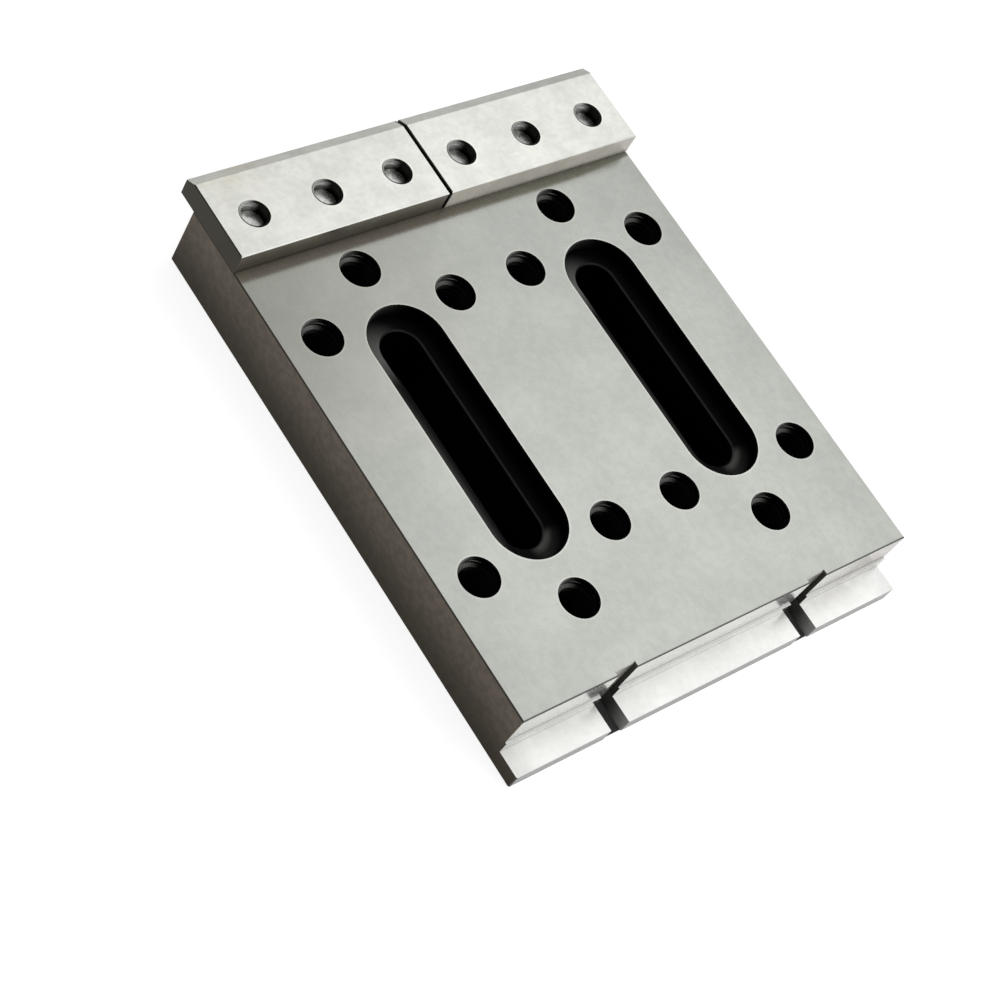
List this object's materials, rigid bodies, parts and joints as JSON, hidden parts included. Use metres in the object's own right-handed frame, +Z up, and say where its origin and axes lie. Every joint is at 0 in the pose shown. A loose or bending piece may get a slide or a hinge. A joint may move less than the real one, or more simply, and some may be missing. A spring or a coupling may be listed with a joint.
{
  "type": "fixture plate",
  "caption": "Ground steel fixture plate with stepped clamping slots, threaded holes, a grooved supporting lip at one end and screwed bars overhanging the other.",
  "frame": {"origin": "bottom centre of the whole part, on the plate's underside", "axes": "+Z up through the plate; +Y along its length from the supporting lip to the overhanging bars; +X to the right seen from the lip"},
  "size_m": [0.1, 0.1244, 0.02],
  "materials": {
    "ground_steel_plate": "surface ground, semi-gloss",
    "ground_steel_bar": "surface ground, semi-gloss",
    "screw_steel": "plain zinc, satin"
  },
  "bodies": {
    "root": {"base_plate": "ground_steel_plate", "overhang_bar_left": "ground_steel_bar", "overhang_bar_right": "ground_steel_bar", "cap_screw_1": "screw_steel", "cap_screw_2": "screw_steel", "cap_screw_3": "screw_steel", "cap_screw_4": "screw_steel", "cap_screw_5": "screw_steel", "cap_screw_6": "screw_steel"}
  },
  "joints": []
}
